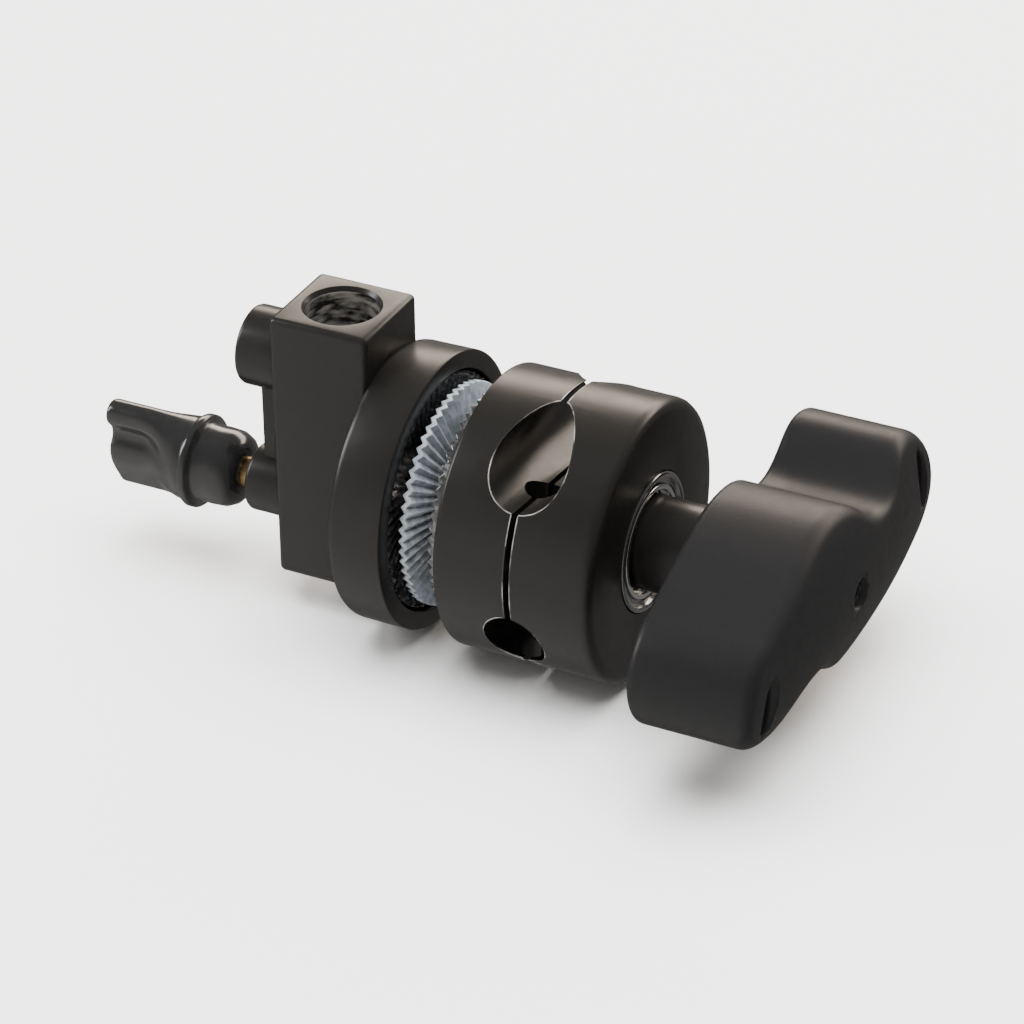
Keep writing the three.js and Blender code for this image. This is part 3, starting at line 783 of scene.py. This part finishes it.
def handle():
    back = box_mm("tee_handle")[0].x
    outline = s_outline()
    bm = bmesh.new()

    def loop(distance, x_of):
        return [
            bm.verts.new(STUD_AXIS + Vector((x_of(point), point.x, point.y)) * MM)
            for point in inset(outline, distance)
        ]

    back_round, front_round, steps = HANDLE_BACK_ROUNDING, HANDLE_FRONT_ROUNDING, HANDLE_ROUNDING_STEPS
    loops = []
    for step in range(steps + 1):
        angle = math.pi / 2 * step / steps
        distance = back_round * (1 - math.sin(angle))
        depth = back_round * (1 - math.cos(angle))
        loops.append(loop(distance, lambda point, depth=depth: back + depth))
    for share in (0.25, 0.5, 0.75):
        loops.append(
            loop(0, lambda p, s=share: (back + back_round) * (1 - s) + s * (crown_x(p) - front_round))
        )
    for step in range(steps + 1):
        angle = math.pi / 2 * step / steps
        distance = front_round * (1 - math.cos(angle))
        drop = front_round * (1 - math.sin(angle))
        loops.append(loop(distance, lambda point, drop=drop: crown_x(point) - drop))
    skin(bm, loops)
    bm.faces.new(loops[0])
    fill_crown(bm, loops[-1], inset(outline, front_round))
    piece = new_object("tee_grip", bm, 50)
    recess = cylinder("screw_recess", HANDLE_FRONT - RECESS_DEPTH, HANDLE_FRONT + 4, RECESS_RADIUS)
    cut(piece, recess, tip_pocket(1), tip_pocket(-1))
    paint(piece, "handle_paint")
    return stand_for(piece, "handle", "handle_paint", "tee_handle")


def fill_crown(bm, rim, outline):
    """Quads across the domed front, from each point of the upper edge to its partner on the lower edge."""
    half = len(rim) // 2
    columns = []
    for index in range(half + 1):
        partner = (len(rim) - index) % len(rim)
        if index in (0, half):
            columns.append([rim[index]] * (DOME_ROWS + 1))
            continue
        column = [rim[index]]
        for row in range(1, DOME_ROWS):
            point = outline[index].lerp(outline[partner], row / DOME_ROWS)
            place = Vector((crown_x(point), point.x, point.y))
            column.append(bm.verts.new(STUD_AXIS + place * MM))
        columns.append(column + [rim[partner]])
    for one, other in zip(columns, columns[1:]):
        for row in range(DOME_ROWS):
            corners = [one[row], other[row], other[row + 1], one[row + 1]]
            bm.faces.new(list(dict.fromkeys(corners)))


def hub():
    back, front = box_mm("handle_hub")[0].x, 70
    bore, barrel, neck = 6.2, 10.5, 9.4
    profile = [
        (back, bore, 0),
        (back, barrel, 0.5),
        (65.6, barrel, 0.6),
        (66.5, neck, 0.3),
        (front, neck, 0),
        (front, bore, 0),
    ]
    piece = turned("hub_barrel", profile, HUB_SIDES)
    paint(piece, "black_paint")
    return stand_for(piece, "handle", "black_paint", "handle_hub")


# ---- lock knob --------------------------------------------------------------------------------------


WING_TURN = math.radians(98)
WING_SCALE = 0.235
WING_START_X = -63.5
WING_ROOT_RADIUS = 9.8
WING_FORMED_SHARE = 0.62
WING_STEPS = 14
WING_END_ROUNDING = 1.2
WING_END_STEPS = 4


def wing_knob():
    """A bulb and flange that flow into an S-shaped wing, lofted from a circle to a small S."""
    low, high = box_mm("lock_knob")
    lock_x = (LOCK_AXIS.x - STUD_AXIS.x) / MM
    upright = Matrix.Rotation(WING_TURN, 2)
    wing = [upright @ point for point in s_outline(WING_SCALE)]
    first_angle = math.atan2(wing[0].y, wing[0].x)
    angles = [first_angle - 2 * math.pi * index / len(wing) for index in range(len(wing))]
    unit_circle = [Vector((math.cos(angle), math.sin(angle))) for angle in angles]
    bm = bmesh.new()

    def ring_at(x, points):
        return [bm.verts.new(LOCK_AXIS + Vector((x - lock_x, p.x, p.y)) * MM) for p in points]

    bulb_and_flange = [
        (high.x, 5.2),
        (high.x - 0.4, 6.6),
        (high.x - 1.5, 7.9),
        (high.x - 3.4, 8.8),
        (high.x - 6.5, 9),
        (-60.1, 8.9),
        (-60.7, 9.2),
        (-61, 10.5),
        (-61.4, 10.8),
        (-62.6, 10.8),
        (-63.1, 10.5),
        (WING_START_X, 9.6),
    ]
    loops = [ring_at(x, [point * radius for point in unit_circle]) for x, radius in bulb_and_flange]
    wing_end = low.x + WING_END_ROUNDING
    for step in range(1, WING_STEPS + 1):
        share = step / WING_STEPS
        reached = min(1, share / WING_FORMED_SHARE)
        ease = reached * reached * (3 - 2 * reached)
        x = WING_START_X + (wing_end - WING_START_X) * share
        root = WING_ROOT_RADIUS * (1 - ease)
        loops.append(ring_at(x, [c * root + p * ease for c, p in zip(unit_circle, wing)]))
    for step in range(1, WING_END_STEPS + 1):
        angle = math.pi / 2 * step / WING_END_STEPS
        x = low.x + WING_END_ROUNDING * (1 - math.sin(angle))
        loops.append(ring_at(x, inset(wing, WING_END_ROUNDING * (1 - math.cos(angle)))))
    skin(bm, loops)
    bm.faces.new(loops[0])
    bm.faces.new(loops[-1])
    piece = new_object("wing_knob", bm, 60)
    paint(piece, "knob_plastic")
    return stand_for(piece, "lock_knob", "knob_plastic", "lock_knob")


# ---- everything -------------------------------------------------------------------------------------


def finish_cad_nodes():
    """The pieces that are plain turned or coiled shapes stay as the CAD has them, with their own finish."""
    slots = {row["node"]: row["material_slot"] for row in frame["record"]["subparts"]}
    for name, node in frame["nodes"].items():
        node.data.materials.clear()
        look = "glossy_paint" if name == "handle_end_screw" else slots[name]
        node.data.materials.append(LOOKS[look])


finish_cad_nodes()
receiver()
bowl_teeth()
loose_disc()
rear_jaw()
rear_jaw_teeth()
worn_edges("rear_jaw_edges", "inner_jaw", -1)
front_jaw()
worn_edges("front_jaw_edges", "outer_jaw", 1)
spring("disc_coil", "disc_spring", "disc_carrier")
spring("swivel_coil", "swivel_spring", "jaw_carrier")
spring("jaw_coil", "jaw_spring", "outer_jaw")
cover()
handle()
hub()
wing_knob()


# ---- floor, light and camera ------------------------------------------------------------------------


FLOOR_SIZE = 6
FLOOR_GAP = 0.0005


def floor():
    bm = bmesh.new()
    bmesh.ops.create_grid(bm, x_segments=1, y_segments=1, size=FLOOR_SIZE)
    plane = new_object("floor", bm)
    plane.location.z = cad_low.z - FLOOR_GAP
    pale = bpy.data.materials.new("pale_floor")
    pale.use_nodes = True
    shader = pale.node_tree.nodes["Principled BSDF"]
    shader.inputs["Base Color"].default_value = (0.9, 0.9, 0.9, 1)
    shader.inputs["Roughness"].default_value = 0.9
    plane.data.materials.append(pale)
    plane.visible_glossy = False


def area_light(name, place, size, power, color):
    data = bpy.data.lights.new(name, "AREA")
    data.shape = "RECTANGLE"
    data.size, data.size_y = size
    data.energy = power
    data.color = color
    light = bpy.data.objects.new(name, data)
    light.location = place
    target = (cad_low + cad_high) / 2
    light.rotation_euler = (target - Vector(place)).to_track_quat("-Z", "Y").to_euler()
    bpy.context.scene.collection.objects.link(light)
    return light


ROOM_STRENGTH = 0.22
GLOW_STRENGTH = 0.95
GLOW_DIRECTION = (-0.39, -0.76, -0.52)
GLOW_EDGE = 0.3
WHITE, WARM, NEAR_WHITE = (1.0, 1.0, 1.0), (1.0, 0.86, 0.72), (1.0, 0.98, 0.95)


def lights():
    """Soft light from above and behind, and a glow low in front that the paint's near sides reflect.

    The overhead light and the floor are kept out of reflections, which would turn the black paint grey.
    """
    overhead = area_light("overhead", place=(0.1, 0.1, 1.8), size=(2.2, 2.2), power=185, color=WHITE)
    overhead.visible_glossy = False
    area_light("back_wall", place=(0.0, 1.2, 0.62), size=(1.9, 0.45), power=22, color=WARM)
    area_light("left", place=(-1.0, -0.35, 0.6), size=(0.35, 0.7), power=9, color=NEAR_WHITE)
    world = bpy.data.worlds.new("studio")
    world.use_nodes = True
    nodes, links = world.node_tree.nodes, world.node_tree.links
    background = nodes["Background"]
    background.inputs["Color"].default_value = (1, 0.97, 0.94, 1)
    direction = nodes.new("ShaderNodeTexCoord")
    toward_glow = nodes.new("ShaderNodeVectorMath")
    toward_glow.operation = "DOT_PRODUCT"
    toward_glow.inputs[1].default_value = Vector(GLOW_DIRECTION).normalized()
    strength = nodes.new("ShaderNodeMapRange")
    strength.interpolation_type = "SMOOTHSTEP"
    strength.inputs["From Min"].default_value = GLOW_EDGE
    strength.inputs["To Min"].default_value = ROOM_STRENGTH
    strength.inputs["To Max"].default_value = GLOW_STRENGTH
    links.new(direction.outputs["Generated"], toward_glow.inputs[0])
    links.new(toward_glow.outputs["Value"], strength.inputs["Value"])
    links.new(strength.outputs["Result"], background.inputs["Strength"])
    bpy.context.scene.world = world


CAMERA_LENS = 153.6
CAMERA_FROM_STUD = Vector((0.385, -0.725, 0.4985))
CAMERA_RIGHT = Vector((0.895, 0.447, -0.012))
CAMERA_DOWN = Vector((0.225, -0.473, -0.852))


def camera():
    """The photograph's view: from the front right of the stud, about 32 degrees above it."""
    data = bpy.data.cameras.new("camera")
    data.lens = CAMERA_LENS
    view = bpy.data.objects.new("camera", data)
    forward = CAMERA_RIGHT.cross(CAMERA_DOWN)
    rotation = Matrix((CAMERA_RIGHT, -CAMERA_DOWN, -forward)).transposed()
    view.matrix_world = Matrix.Translation(STUD_AXIS + CAMERA_FROM_STUD) @ rotation.to_4x4()
    data.clip_start, data.clip_end = 0.01, 30
    bpy.context.scene.collection.objects.link(view)
    bpy.context.scene.camera = view


floor()
lights()
camera()
